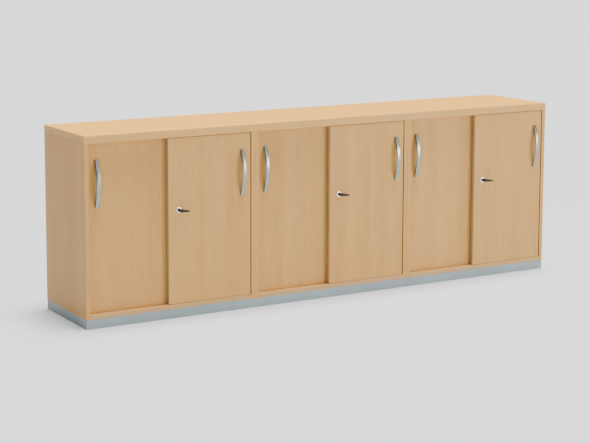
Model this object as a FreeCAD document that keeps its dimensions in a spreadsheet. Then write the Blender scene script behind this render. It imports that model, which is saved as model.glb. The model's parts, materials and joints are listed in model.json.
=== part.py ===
import FreeCAD, Part
import operator
import os
import Sketcher
from types import SimpleNamespace

# Sliding door cabinet: three ganged bays under one top board, on one plinth.
# X runs along the width, +Y to the back, +Z up, with the origin under the middle of the plinth.

# Driving dimensions in millimetres, with angles in degrees
SIZES = {
    # Carcass boards
    "bay_width": 800,
    "cabinet_depth": 425,
    "body_height": 734,
    "panel_thickness": 19,
    "top_thickness": 34,
    "board_edge_radius": 2,
    "panel_edge_radius": 1,
    "back_thickness": 8,
    "back_inset": 10,
    "back_groove_depth": 8,
    # Plinth of folded sheet steel
    "plinth_height": 40,
    "plinth_sheet": 2,
    "plinth_flange": 22,
    "plinth_tie_width": 42,
    "plinth_corner_radius": 3,
    # Shelves and their pins
    "shelf_thickness": 19,
    "shelf_setback": 70,
    "shelf_gap": 1,
    "pin_inset": 37,
    "pin_peg_radius": 2.5,
    "pin_peg_length": 8.5,
    "pin_head_radius": 3.5,
    "pin_head_length": 9,
    "pin_hole_depth": 10,
    "pin_pitch": 32,
    # Cam connectors
    "cam_radius": 7.5,
    "cam_depth": 12.5,
    "cam_slot_width": 1.5,
    "cam_slot_length": 9,
    "cam_slot_depth": 2.5,
    "cam_edge_distance": 34,
    "cam_end_inset": 80,
    "cam_bolt_radius": 3,
    "cam_bolt_grip": 11,
    # Bolts that gang the bays
    "gang_inset": 62,
    "gang_height_margin": 64,
    "gang_sleeve_radius": 4,
    "gang_screw_radius": 2.8,
    "gang_head_radius": 7,
    "gang_head_thickness": 1.5,
    "gang_screw_grip": 24,
    "gang_socket_radius": 2,
    "gang_socket_depth": 1,
    # Doors, with how far each one reaches past the middle of its bay
    "door_thickness": 18,
    "front_door_lap": 18,
    "rear_door_lap": 50,
    "front_door_recess": 2,
    "door_spacing": 6,
    "door_side_gap": 3,
    "door_floor_gap": 1.5,
    "door_top_gap": 1.5,
    # Tracks and the runners that slide in them
    "track_width": 9,
    "track_wall": 1.5,
    "lower_track_depth": 7,
    "upper_track_depth": 12,
    "runner_length": 30,
    "runner_insert_width": 8,
    "runner_insert_depth": 12,
    "runner_end_inset": 30,
    "upper_tongue_reach": 7,
    # Bow handles and their screws, with the handle's drop below the door's top
    "handle_inset": 45,
    "handle_drop": 169.5,
    "handle_length": 202,
    "handle_width": 20,
    "handle_end_width": 16,
    "handle_reach": 28,
    "handle_band": 5,
    "handle_foot": 10,
    "handle_end": 5,
    "handle_edge_radius": 1.8,
    "screw_radius": 2,
    "screw_head_radius": 4,
    "screw_head_height": 2.6,
    "screw_grip": 5,
    "screw_slot_width": 1,
    "screw_slot_depth": 1.2,
    # Push locks, with the lock's rise above the middle of the door
    "lock_inset": 50,
    "lock_rise": 47.5,
    "lock_travel": 5,
    "rosette_radius": 13,
    "rosette_thickness": 2,
    "rosette_edge_radius": 0.8,
    "sleeve_radius": 10,
    "sleeve_end_wall": 2,
    "lip_depth": 1.5,
    "barrel_radius": 7.5,
    "barrel_reach": 6,
    "barrel_edge_radius": 0.8,
    "collar_radius": 8.5,
    "bolt_radius": 4,
    "plug_radius": 5.5,
    "plug_length": 14.7,
    "plug_floor_gap": 0.4,
    "keyway_depth": 12,
    # Strike on the rear door
    "strike_width": 26,
    "strike_thickness": 3.5,
    "strike_above": 10,
    "strike_below": 16,
    "strike_play": 1.8,
    "strike_peg_radius": 2.5,
    "strike_peg_length": 8,
    "strike_peg_offset": 8,
    "strike_peg_drop": 10.5,
    # Folding key
    "key_thickness": 2,
    "key_height": 6,
    "key_inserted": 11.5,
    "hinge_distance": 7,
    "knuckle_radius": 2.3,
    "hinge_pin_radius": 1,
    "key_fold": 45,
    "bow_length": 41,
    "bow_root_width": 16,
    "bow_tip_width": 7,
    "bow_thickness": 4,
    "bow_edge_radius": 1,
    # Clearances and the overrun of every cut
    "running_gap": 0.3,
    "fit_gap": 0.1,
    "overrun": 5,
    # How closely a point must lie to a place to count as there
    "match_tolerance": 0.001,
}

# Holes of each shelf pin row above and below the one in use
SPARE_PIN_HOLES = 2

BAY_NAMES = ("left", "middle", "right")

OPERATIONS = {"+": operator.add, "-": operator.sub, "*": operator.mul, "/": operator.truediv}


class Size:
    """A number together with the spreadsheet expression that gives it."""

    def __init__(self, value, text):
        self.value = value
        self.text = text

    def __add__(self, other):
        return combine(self, "+", other)

    def __radd__(self, other):
        return combine(other, "+", self)

    def __sub__(self, other):
        return combine(self, "-", other)

    def __rsub__(self, other):
        return combine(other, "-", self)

    def __mul__(self, other):
        return combine(self, "*", other)

    def __rmul__(self, other):
        return combine(other, "*", self)

    def __truediv__(self, other):
        return combine(self, "/", other)

    def __neg__(self):
        return combine(0, "-", self)


def as_size(number):
    """A plain number as a Size."""
    return number if isinstance(number, Size) else Size(number, repr(number))


def combine(left, sign, right):
    """The Size that an operation on two sizes or numbers gives."""
    left = as_size(left)
    right = as_size(right)
    return Size(OPERATIONS[sign](left.value, right.value), f"({left.text} {sign} {right.text})")


doc = FreeCAD.newDocument("SlidingDoorCabinet")
sheet = doc.addObject("Spreadsheet::Sheet", "Sizes")
for row, (alias, number) in enumerate(SIZES.items(), start=1):
    sheet.set(f"A{row}", alias)
    sheet.set(f"B{row}", str(number))
    sheet.setAlias(f"B{row}", alias)
doc.recompute()

mm = SimpleNamespace(**{alias: Size(number, f"Sizes.{alias}") for alias, number in SIZES.items()})

# Main planes
cabinet_width = len(BAY_NAMES) * mm.bay_width
cabinet_left = -cabinet_width / 2
front = -mm.cabinet_depth / 2
back = mm.cabinet_depth / 2
floor_top = mm.plinth_height + mm.panel_thickness
body_top = mm.plinth_height + mm.body_height
inner_width = mm.bay_width - 2 * mm.panel_thickness
back_face = back - mm.back_inset - mm.back_thickness
shelf_underside = (floor_top + body_top - mm.shelf_thickness) / 2
shelf_front = front + mm.shelf_setback
front_door_face = front + mm.front_door_recess
rear_door_face = front_door_face + mm.door_thickness + mm.door_spacing
door_bottom = floor_top + mm.door_floor_gap
door_top = body_top - mm.door_top_gap
half_doorway = inner_width / 2 - mm.door_side_gap
front_door_width = half_doorway + mm.front_door_lap
rear_door_width = half_doorway + mm.rear_door_lap
handle_height = door_top - mm.handle_drop
lock_height = (door_bottom + door_top) / 2 + mm.lock_rise
channel_width = mm.track_width - 2 * mm.track_wall
pin_height = shelf_underside - mm.pin_head_radius
pin_rows = (shelf_front + mm.pin_inset, back_face - mm.pin_inset)
cam_rows = (front + mm.cam_end_inset, back - mm.cam_end_inset)
gang_rows = (front + mm.gang_inset, back - mm.gang_inset)
gang_heights = (floor_top + mm.gang_height_margin, body_top - mm.gang_height_margin)

# Turns that lay a shape made along +Z along another axis
TURNS = {
    "x": FreeCAD.Rotation(FreeCAD.Vector(0, 1, 0), 90),
    "y": FreeCAD.Rotation(FreeCAD.Vector(1, 0, 0), -90),
    "z": FreeCAD.Rotation(),
}

nodes = []


def bind(item, **sizes):
    """Bind properties of an object to sizes."""
    for name, size in sizes.items():
        item.setExpression(name, as_size(size).text)


def place(item, corner, axis="z"):
    """Put an object's own origin at a point, turned so that its +Z lies along an axis."""
    item.Placement = FreeCAD.Placement(FreeCAD.Vector(), TURNS[axis])
    for letter, distance in zip("xyz", corner):
        item.setExpression(f"Placement.Base.{letter}", as_size(distance).text)
    return item


def block(name, size, corner):
    """A box from its size and its lowest corner."""
    box = doc.addObject("Part::Box", name)
    bind(box, Length=size[0], Width=size[1], Height=size[2])
    return place(box, corner)


def rod(name, axis, radius, length, start):
    """A cylinder along an axis, from the centre of its first end."""
    cylinder = doc.addObject("Part::Cylinder", name)
    bind(cylinder, Radius=radius, Height=length)
    return place(cylinder, start, axis)


def group(name, items):
    """Several shapes in one compound, or the shape itself if it is alone."""
    if len(items) == 1:
        return items[0]
    compound = doc.addObject("Part::Compound", name)
    compound.Links = items
    return compound


def cut(name, base, tools):
    """A shape with others cut out of it."""
    result = doc.addObject("Part::Cut", name)
    result.Base = base
    result.Tool = group(f"{name}_tools", tools)
    return result


def join(name, items):
    """Several touching shapes made one solid."""
    result = doc.addObject("Part::MultiFuse", name)
    result.Shapes = items
    result.Refine = True
    return result


def near(first, second):
    """Whether two measured lengths agree."""
    return abs(first - second) < mm.match_tolerance.value


def ends_at(edge, axis, level):
    """Whether both ends of an edge lie at a level of an axis."""
    return all(near(getattr(vertex.Point, axis), level) for vertex in edge.Vertexes)


def rounded(name, base, radius, sides):
    """A shape whose edges on the named sides of its own box are rounded.

    A side is an axis letter and the name of the box's limit, such as ("y", "YMin").
    """
    doc.recompute()
    box = base.Shape.BoundBox
    picked = [
        index
        for index, edge in enumerate(base.Shape.Edges, start=1)
        if any(ends_at(edge, axis, getattr(box, limit)) for axis, limit in sides)
    ]
    fillet = doc.addObject("Part::Fillet", name)
    fillet.Base = base
    fillet.Edges = [(index, radius.value, radius.value) for index in picked]
    return fillet


def keep(node, item):
    """Name a finished sub-part as a node of the cabinet."""
    item.Label = node
    nodes.append(item)
    return item


def sketch_on(body, role, name):
    """A sketch on one of a body's own origin planes."""
    sketch = body.newObject("Sketcher::SketchObject", name)
    plane = next(feature for feature in body.Origin.OriginFeatures if feature.Role == role)
    sketch.AttachmentSupport = (plane, [""])
    sketch.MapMode = "FlatFace"
    return sketch


def hold(sketch, name, rule, size):
    """Add a measured constraint to a sketch and bind it to a size."""
    held = sketch.addConstraint(Sketcher.Constraint(*rule, size.value))
    sketch.renameConstraint(held, name)
    sketch.setExpression(f"Constraints.{name}", size.text)


def pin_point(sketch, curve, end, axis, size):
    """Hold one coordinate of a point: on the axis itself, or at a bound distance to one side of it."""
    name = f"{axis.lower()}_{curve}_{end}"
    if size.value == 0:
        sketch.addConstraint(Sketcher.Constraint("PointOnObject", curve, end, -2 if axis == "X" else -1))
    elif size.value > 0:
        hold(sketch, name, (f"Distance{axis}", -1, 1, curve, end), size)
    else:
        hold(sketch, name, (f"Distance{axis}", curve, end, -1, 1), -size)


def draw_outline(sketch, corners, arcs=None):
    """Draw a closed outline through corners given as sizes.

    The sides are straight, apart from those that arcs lists by number: each has a point on its way,
    and the X of its centre.
    """
    arcs = arcs or {}
    corners = [(as_size(x), as_size(y)) for x, y in corners]
    points = [FreeCAD.Vector(x.value, y.value, 0) for x, y in corners]
    sides = []
    for index, (start, end) in enumerate(zip(points, points[1:] + points[:1])):
        shape = Part.LineSegment(start, end)
        first = 1
        if index in arcs:
            way = FreeCAD.Vector(*(as_size(distance).value for distance in arcs[index][:2]))
            anticlockwise = (way - start).cross(end - way).z > 0
            shape = Part.Arc(start, way, end) if anticlockwise else Part.Arc(end, way, start)
            first = 1 if anticlockwise else 2
        sides.append((sketch.addGeometry(shape), first, 3 - first))
    for (curve, _, last), (following, first, _) in zip(sides, sides[1:] + sides[:1]):
        sketch.addConstraint(Sketcher.Constraint("Coincident", curve, last, following, first))
    for (curve, first, _), (x, y) in zip(sides, corners):
        pin_point(sketch, curve, first, "X", x)
        pin_point(sketch, curve, first, "Y", y)
    for index, (_, _, centre_x) in arcs.items():
        pin_point(sketch, sides[index][0], 3, "X", centre_x)


def extruded(name, role, corners, length):
    """A body padded from an outline on one of its origin planes."""
    body = doc.addObject("PartDesign::Body", name)
    sketch = sketch_on(body, role, f"{name}_outline")
    draw_outline(sketch, corners)
    pad = body.newObject("PartDesign::Pad", f"{name}_pad")
    pad.Profile = sketch
    bind(pad, Length=length)
    return body


def turned(name, corners):
    """A body revolved about its own Y axis from an outline of radii and distances along Y."""
    body = doc.addObject("PartDesign::Body", name)
    sketch = sketch_on(body, "XY_Plane", f"{name}_outline")
    draw_outline(sketch, corners)
    revolution = body.newObject("PartDesign::Revolution", f"{name}_revolution")
    revolution.Profile = sketch
    revolution.ReferenceAxis = (sketch, ["V_Axis"])
    return body


class Bay:
    """One bay of the cabinet, with the places that its pieces share."""

    def __init__(self, index, name):
        self.name = name
        self.left = cabinet_left + index * mm.bay_width
        self.right = self.left + mm.bay_width
        self.inner_left = self.left + mm.panel_thickness
        self.inner_right = self.right - mm.panel_thickness
        self.rear_left = self.inner_left + mm.door_side_gap
        self.front_left = self.inner_right - mm.door_side_gap - front_door_width
        self.lock_x = self.front_left + mm.lock_inset
        self.joins_left = index > 0
        self.joins_right = index < len(BAY_NAMES) - 1


class Door:
    """One sliding door: its name, its front face and the places across its width."""

    def __init__(self, bay, kind, face, left, width, handle_x):
        self.node = f"{bay.name}_{kind}_door"
        self.bay = bay
        self.face = face
        self.rear = face + mm.door_thickness
        self.middle = face + mm.door_thickness / 2
        self.left = left
        self.width = width
        self.handle_x = handle_x
        first_runner = left + mm.runner_end_inset
        last_runner = left + width - mm.runner_end_inset - mm.runner_length
        self.runner_starts = (first_runner, last_runner)
        screw_offset = mm.handle_length / 2 - mm.handle_foot / 2
        self.screw_heights = (handle_height - screw_offset, handle_height + screw_offset)


bays = [Bay(index, name) for index, name in enumerate(BAY_NAMES)]


def doors_of(bay):
    """The rear and the front door of a bay."""
    rear_handle = bay.inner_left + mm.handle_inset
    front_handle = bay.inner_right - mm.handle_inset
    return (
        Door(bay, "rear", rear_door_face, bay.rear_left, rear_door_width, rear_handle),
        Door(bay, "front", front_door_face, bay.front_left, front_door_width, front_handle),
    )


def track_starts():
    """The Y of the near side of each track, under the middle of each door."""
    door_middles = [face + mm.door_thickness / 2 for face in (front_door_face, rear_door_face)]
    return [middle - mm.track_width / 2 for middle in door_middles]


def blind_bore_x(name, radius, face, depth, inwards, y, z):
    """A hole along X into a panel from its face, to the left (-1) or to the right (1)."""
    start = face - depth if inwards < 0 else face - mm.overrun
    return rod(name, "x", radius, depth + mm.overrun, (start, y, z))


def build_top_board():
    """The single board that covers all the bays, with stopped grooves for the upper tracks."""
    board_size = (cabinet_width, mm.cabinet_depth, mm.top_thickness)
    blank = block("top_blank", board_size, (cabinet_left, front, body_top))
    eased = rounded("top_eased", blank, mm.board_edge_radius, [("z", "ZMax"), ("z", "ZMin")])
    tools = []
    for bay in bays:
        for y in track_starts():
            size = (inner_width, mm.track_width, mm.upper_track_depth + mm.overrun)
            tools.append(block("top_groove", size, (bay.inner_left, y, body_top - mm.overrun)))
        for x in (bay.left + mm.panel_thickness / 2, bay.right - mm.panel_thickness / 2):
            for y in cam_rows:
                length = mm.cam_bolt_grip + mm.fit_gap + mm.overrun
                radius = mm.cam_bolt_radius + mm.fit_gap
                tools.append(rod("top_bolt_hole", "z", radius, length, (x, y, body_top - mm.overrun)))
    keep("top_board", cut("top_board_cut", eased, tools))


def side_holes(face, inwards, ganged):
    """Every hole and groove in a side panel, from its inner face."""
    tools = []
    groove_size = (mm.back_groove_depth + mm.overrun, mm.back_thickness, mm.body_height + 2 * mm.overrun)
    groove_x = face - mm.back_groove_depth if inwards < 0 else face - mm.overrun
    tools.append(block("side_groove", groove_size, (groove_x, back_face, mm.plinth_height - mm.overrun)))
    peg_radius = mm.pin_peg_radius + mm.fit_gap
    for y in pin_rows:
        for step in range(-SPARE_PIN_HOLES, SPARE_PIN_HOLES + 1):
            z = pin_height + step * mm.pin_pitch
            tools.append(blind_bore_x("side_pin_hole", peg_radius, face, mm.pin_hole_depth, inwards, y, z))
    cam_z = body_top - mm.cam_edge_distance
    cam_radius = mm.cam_radius + mm.fit_gap
    bolt_radius = mm.cam_bolt_radius + mm.fit_gap
    bore_length = mm.cam_edge_distance + mm.overrun
    half_panel = mm.panel_thickness / 2
    middle_x = face + inwards * half_panel
    for y in cam_rows:
        tools.append(blind_bore_x("side_cam_hole", cam_radius, face, mm.cam_depth, inwards, y, cam_z))
        tools.append(rod("side_bolt_bore", "z", bolt_radius, bore_length, (middle_x, y, cam_z)))
        floor_bolt_z = mm.plinth_height + half_panel
        grip = mm.cam_bolt_grip + mm.fit_gap
        tools.append(blind_bore_x("side_floor_bolt_hole", bolt_radius, face, grip, inwards, y, floor_bolt_z))
    if ganged:
        through = mm.panel_thickness + mm.overrun
        for y in gang_rows:
            for z in gang_heights:
                radius = mm.gang_sleeve_radius + mm.fit_gap
                tools.append(blind_bore_x("side_gang_hole", radius, face, through, inwards, y, z))
    return tools


def build_sides(bay):
    """The two side panels of a bay, standing on the plinth under the top board."""
    size = (mm.panel_thickness, mm.cabinet_depth, mm.body_height)
    left_blank = block("side_blank", size, (bay.left, front, mm.plinth_height))
    right_blank = block("side_blank", size, (bay.inner_right, front, mm.plinth_height))
    left_eased = rounded("side_eased", left_blank, mm.panel_edge_radius, [("y", "YMin")])
    right_eased = rounded("side_eased", right_blank, mm.panel_edge_radius, [("y", "YMin")])
    left_tools = side_holes(bay.inner_left, -1, bay.joins_left)
    right_tools = side_holes(bay.inner_right, 1, bay.joins_right)
    keep(f"{bay.name}_bay_left_side", cut("side_cut", left_eased, left_tools))
    keep(f"{bay.name}_bay_right_side", cut("side_cut", right_eased, right_tools))


def floor_cam_places(bay):
    """The centre of each cam under a bay's bottom panel, with the way that its bolt points."""
    for y in cam_rows:
        yield bay.inner_left + mm.cam_edge_distance, y, -1
        yield bay.inner_right - mm.cam_edge_distance, y, 1


def build_bottom(bay):
    """The bottom panel of a bay, grooved on top for the lower tracks."""
    size = (inner_width, back_face - front, mm.panel_thickness)
    blank = block("bottom_blank", size, (bay.inner_left, front, mm.plinth_height))
    eased = rounded("bottom_eased", blank, mm.panel_edge_radius, [("y", "YMin")])
    tools = []
    for y in track_starts():
        groove = (inner_width + 2 * mm.overrun, mm.track_width, mm.lower_track_depth + mm.overrun)
        corner = (bay.inner_left - mm.overrun, y, floor_top - mm.lower_track_depth)
        tools.append(block("bottom_groove", groove, corner))
    bolt_z = mm.plinth_height + mm.panel_thickness / 2
    for x, y, way in floor_cam_places(bay):
        hole_start = (x, y, mm.plinth_height - mm.overrun)
        hole_radius = mm.cam_radius + mm.fit_gap
        hole_length = mm.cam_depth + mm.overrun
        tools.append(rod("bottom_cam_hole", "z", hole_radius, hole_length, hole_start))
        bore_length = mm.cam_edge_distance + mm.overrun
        bore_start = x - bore_length if way < 0 else x
        bore_radius = mm.cam_bolt_radius + mm.fit_gap
        tools.append(rod("bottom_bolt_bore", "x", bore_radius, bore_length, (bore_start, y, bolt_z)))
    keep(f"{bay.name}_bay_bottom", cut("bottom_cut", eased, tools))


def build_back_panels():
    """The thin back of each bay, held in grooves of its two sides."""
    reach = mm.back_groove_depth - mm.fit_gap
    size = (inner_width + 2 * reach, mm.back_thickness, mm.body_height)
    corners = [(bay.inner_left - reach, back_face, mm.plinth_height) for bay in bays]
    panels = [block("back_sheet", size, corner) for corner in corners]
    keep("back_panels", group("back_set", panels))


def build_shelves():
    """One loose shelf in each bay, resting on four pins."""
    depth = back_face - mm.shelf_gap - shelf_front
    size = (inner_width - 2 * mm.shelf_gap, depth, mm.shelf_thickness)
    shelves = []
    for bay in bays:
        blank = block("shelf_blank", size, (bay.inner_left + mm.shelf_gap, shelf_front, shelf_underside))
        shelves.append(rounded("shelf_board", blank, mm.panel_edge_radius, [("y", "YMin")]))
    keep("shelves", group("shelf_set", shelves))


def build_shelf_pins():
    """The pins under the shelves: a peg in the side panel and a thicker head under the shelf."""
    pins = []
    for bay in bays:
        for face, inwards in ((bay.inner_left, -1), (bay.inner_right, 1)):
            for y in pin_rows:
                peg_x = face - mm.pin_peg_length if inwards < 0 else face
                head_x = face if inwards < 0 else face - mm.pin_head_length
                peg = rod("pin_peg", "x", mm.pin_peg_radius, mm.pin_peg_length, (peg_x, y, pin_height))
                head = rod("pin_head", "x", mm.pin_head_radius, mm.pin_head_length, (head_x, y, pin_height))
                pins.append(join("pin", [peg, head]))
    keep("shelf_pins", group("pin_set", pins))


def channel(name, depth, opens_up):
    """A plastic channel as long as a bay is wide inside, drawn in the YZ plane and opening up or down."""
    inner_end = mm.track_width - mm.track_wall
    wall = mm.track_wall
    if opens_up:
        corners = [(0, 0), (mm.track_width, 0), (mm.track_width, depth), (inner_end, depth)]
        corners += [(inner_end, wall), (wall, wall), (wall, depth), (0, depth)]
    else:
        corners = [(0, 0), (wall, 0), (wall, depth - wall), (inner_end, depth - wall)]
        corners += [(inner_end, 0), (mm.track_width, 0), (mm.track_width, depth), (0, depth)]
    return extruded(name, "YZ_Plane", corners, inner_width)


def build_tracks():
    """Two channels below and two above the doors of each bay, sunk in their grooves."""
    lower = []
    upper = []
    for bay in bays:
        for y in track_starts():
            lower_place = (bay.inner_left, y, floor_top - mm.lower_track_depth)
            lower.append(place(channel("lower_channel", mm.lower_track_depth, True), lower_place))
            upper_place = (bay.inner_left, y, body_top)
            upper.append(place(channel("upper_channel", mm.upper_track_depth, False), upper_place))
    keep("lower_tracks", group("lower_track_set", lower))
    keep("upper_tracks", group("upper_track_set", upper))


def build_plinth():
    """A welded frame of C-shaped rails that open inwards, with a tie under each pair of ganged sides."""
    size = (cabinet_width, mm.cabinet_depth, mm.plinth_height)
    blank = block("plinth_blank", size, (cabinet_left, front, 0))
    doc.recompute()
    height = mm.plinth_height.value
    corners = [i for i, edge in enumerate(blank.Shape.Edges, start=1) if near(edge.Length, height)]
    corner_radius = mm.plinth_corner_radius.value
    eased = doc.addObject("Part::Fillet", "plinth_eased")
    eased.Base = blank
    eased.Edges = [(i, corner_radius, corner_radius) for i in corners]
    sheet_gap = 2 * mm.plinth_sheet
    inside = (cabinet_width - sheet_gap, mm.cabinet_depth - sheet_gap, mm.plinth_height - sheet_gap)
    inside_corner = (cabinet_left + mm.plinth_sheet, front + mm.plinth_sheet, mm.plinth_sheet)
    hollow = block("plinth_hollow", inside, inside_corner)
    flange_gap = 2 * mm.plinth_flange
    opening = (cabinet_width - flange_gap, mm.cabinet_depth - flange_gap, mm.plinth_height + 2 * mm.overrun)
    opening_corner = (cabinet_left + mm.plinth_flange, front + mm.plinth_flange, -mm.overrun)
    room_inside = join("plinth_room", [hollow, block("plinth_opening", opening, opening_corner)])
    members = [cut("plinth_rails", eased, [room_inside])]
    tie_length = mm.cabinet_depth - sheet_gap
    tie_height = mm.plinth_height - sheet_gap
    for bay in bays[1:]:
        tie_left = bay.left - mm.plinth_tie_width / 2
        tie_y = front + mm.plinth_sheet
        tie_size = (mm.plinth_tie_width, tie_length, tie_height)
        tie = block("tie_blank", tie_size, (tie_left, tie_y, mm.plinth_sheet))
        room = (mm.plinth_tie_width - sheet_gap, tie_length + 2 * mm.overrun, tie_height)
        room_corner = (tie_left + mm.plinth_sheet, tie_y - mm.overrun, 0)
        bent = cut("tie_bent", tie, [block("tie_room", room, room_corner)])
        cap_length = mm.cabinet_depth - flange_gap
        cap_corner = (tie_left, front + mm.plinth_flange, mm.plinth_height - mm.plinth_sheet)
        members += [bent, block("tie_cap", (mm.plinth_tie_width, cap_length, mm.plinth_sheet), cap_corner)]
    keep("plinth_frame", join("plinth_weld", members))


def slotted_cam(axis, start, slot_start, slot_size):
    """One cam: a disc with a screwdriver slot in its open face."""
    disc = rod("cam_disc", axis, mm.cam_radius, mm.cam_depth, start)
    return cut("cam", disc, [block("cam_slot", slot_size, slot_start)])


def build_cam_connectors():
    """Cams in the sides hold the top board, and cams under the bottom panels hold the sides."""
    pieces = []
    half_panel = mm.panel_thickness / 2
    bolt_start = mm.cam_radius + mm.fit_gap
    top_bolt = mm.cam_edge_distance - bolt_start + mm.cam_bolt_grip
    cam_z = body_top - mm.cam_edge_distance
    slot_depth = mm.cam_slot_depth
    for bay in bays:
        for face, inwards in ((bay.inner_left, -1), (bay.inner_right, 1)):
            for y in cam_rows:
                disc_x = face - mm.cam_depth if inwards < 0 else face
                slot_x = face - slot_depth if inwards < 0 else face - mm.overrun
                slot_size = (slot_depth + mm.overrun, mm.cam_slot_length, mm.cam_slot_width)
                slot_at = (slot_x, y - mm.cam_slot_length / 2, cam_z - mm.cam_slot_width / 2)
                pieces.append(slotted_cam("x", (disc_x, y, cam_z), slot_at, slot_size))
                bolt_at = (face + inwards * half_panel, y, cam_z + bolt_start)
                pieces.append(rod("cam_bolt", "z", mm.cam_bolt_radius, top_bolt, bolt_at))
        for x, y, way in floor_cam_places(bay):
            slot_size = (mm.cam_slot_length, mm.cam_slot_width, slot_depth + mm.overrun)
            slot_z = mm.plinth_height - mm.overrun
            slot_at = (x - mm.cam_slot_length / 2, y - mm.cam_slot_width / 2, slot_z)
            pieces.append(slotted_cam("z", (x, y, mm.plinth_height), slot_at, slot_size))
            bolt_x = x - bolt_start - top_bolt if way < 0 else x + bolt_start
            bolt_at = (bolt_x, y, mm.plinth_height + half_panel)
            pieces.append(rod("cam_bolt", "x", mm.cam_bolt_radius, top_bolt, bolt_at))
    keep("cam_connectors", group("cam_set", pieces))


def build_ganging_bolts():
    """Sleeve nuts and screws that hold the neighbouring sides of two bays together."""
    pieces = []
    stile = 2 * mm.panel_thickness
    for bay in bays[1:]:
        left_face = bay.left - mm.panel_thickness
        right_face = bay.inner_left
        for y in gang_rows:
            for z in gang_heights:
                nut_start = (left_face - mm.gang_head_thickness, y, z)
                head_size = (mm.gang_head_radius, mm.gang_head_thickness)
                nut_head = rod("gang_nut_head", "x", *head_size, nut_start)
                sleeve = rod("gang_sleeve", "x", mm.gang_sleeve_radius, stile - mm.fit_gap, (left_face, y, z))
                thread_radius = mm.gang_screw_radius + mm.fit_gap
                thread_start = right_face - mm.gang_screw_grip - mm.fit_gap
                thread_length = mm.gang_screw_grip + mm.overrun
                thread = rod("gang_thread", "x", thread_radius, thread_length, (thread_start, y, z))
                pieces.append(cut("gang_nut", join("gang_nut_blank", [nut_head, sleeve]), [thread]))
                head = rod("gang_screw_head", "x", *head_size, (right_face, y, z))
                shank_start = (right_face - mm.gang_screw_grip, y, z)
                shank = rod("gang_shank", "x", mm.gang_screw_radius, mm.gang_screw_grip, shank_start)
                socket_x = right_face + mm.gang_head_thickness - mm.gang_socket_depth
                socket_length = mm.gang_socket_depth + mm.overrun
                socket = rod("gang_socket", "x", mm.gang_socket_radius, socket_length, (socket_x, y, z))
                pieces.append(cut("gang_screw", join("gang_screw_blank", [head, shank]), [socket]))
    keep("ganging_bolts", group("gang_set", pieces))


def insert_blocks(door):
    """The recesses in a door's lower and upper edges that hold its runners."""
    y = door.middle - mm.runner_insert_width / 2
    size = (mm.runner_length, mm.runner_insert_width, mm.runner_insert_depth)
    for x in door.runner_starts:
        yield block("runner_insert", size, (x, y, door_bottom))
        yield block("runner_insert", size, (x, y, door_top - mm.runner_insert_depth))


def build_door_panel(door, extra_tools):
    """A door board with its eased edges, runner recesses and screw holes."""
    size = (door.width, mm.door_thickness, door_top - door_bottom)
    blank = block("door_blank", size, (door.left, door.face, door_bottom))
    eased = rounded("door_eased", blank, mm.panel_edge_radius, [("y", "YMin"), ("y", "YMax")])
    tools = list(insert_blocks(door)) + extra_tools
    for z in door.screw_heights:
        start = (door.handle_x, door.face - mm.overrun, z)
        length = mm.door_thickness + 2 * mm.overrun
        tools.append(rod("door_screw_hole", "y", mm.screw_radius + mm.fit_gap, length, start))
    keep(door.node, cut("door_cut", eased, tools))


def build_runners(door):
    """Two glides that stand in the lower track and two guides that reach into the upper track."""
    tongue_width = channel_width - 2 * mm.running_gap
    y = door.middle - tongue_width / 2
    track_floor = floor_top - mm.lower_track_depth + mm.track_wall
    glide_bottom = track_floor + mm.running_gap
    glide_size = (mm.runner_length, tongue_width, door_bottom - glide_bottom)
    guide_size = (mm.runner_length, tongue_width, mm.door_top_gap + mm.upper_tongue_reach)
    inserts = list(insert_blocks(door))
    runners = []
    for index, x in enumerate(door.runner_starts):
        glide = block("glide_tongue", glide_size, (x, y, glide_bottom))
        guide = block("guide_tongue", guide_size, (x, y, door_top))
        runners.append(join("glide", [inserts[2 * index], glide]))
        runners.append(join("guide", [inserts[2 * index + 1], guide]))
    keep(f"{door.node}_runners", group("runner_set", runners))


def bow_radius(chord, rise):
    """The radius of an arc from its chord and its rise."""
    return (chord * chord / 4 + rise * rise) / (2 * rise)


def draw_bow(sketch):
    """The side outline of a bow handle: two arcs between flat feet, standing out along -Y."""
    half = mm.handle_length / 2
    inner_half = half - mm.handle_foot
    outer_radius = bow_radius(mm.handle_length, mm.handle_reach - mm.handle_end)
    inner_reach = mm.handle_reach - mm.handle_band
    inner_radius = bow_radius(2 * inner_half, inner_reach)
    corners = [(-mm.handle_end, -half), (-mm.handle_end, half), (0, half)]
    corners += [(0, inner_half), (0, -inner_half), (0, -half)]
    outer_arc = (-mm.handle_reach, 0, outer_radius - mm.handle_reach)
    inner_arc = (-inner_reach, 0, inner_radius - inner_reach)
    draw_outline(sketch, corners, {0: outer_arc, 3: inner_arc})


def draw_taper(sketch):
    """The front outline of a bow handle, widest in the middle."""
    half = mm.handle_length / 2
    half_width = mm.handle_width / 2
    half_end = mm.handle_end_width / 2
    radius = bow_radius(mm.handle_length, half_width - half_end)
    corners = [(-half_end, -half), (half_end, -half), (half_end, half), (-half_end, half)]
    right_arc = (half_width, 0, half_width - radius)
    left_arc = (-half_width, 0, radius - half_width)
    draw_outline(sketch, corners, {1: right_arc, 3: left_arc})


def padded(name, role, draw, length):
    """A body padded to both sides of an outline that a function draws."""
    body = doc.addObject("PartDesign::Body", name)
    sketch = sketch_on(body, role, f"{name}_outline")
    draw(sketch)
    pad = body.newObject("PartDesign::Pad", f"{name}_pad")
    pad.Profile = sketch
    pad.Midplane = True
    bind(pad, Length=length)
    return body


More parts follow.
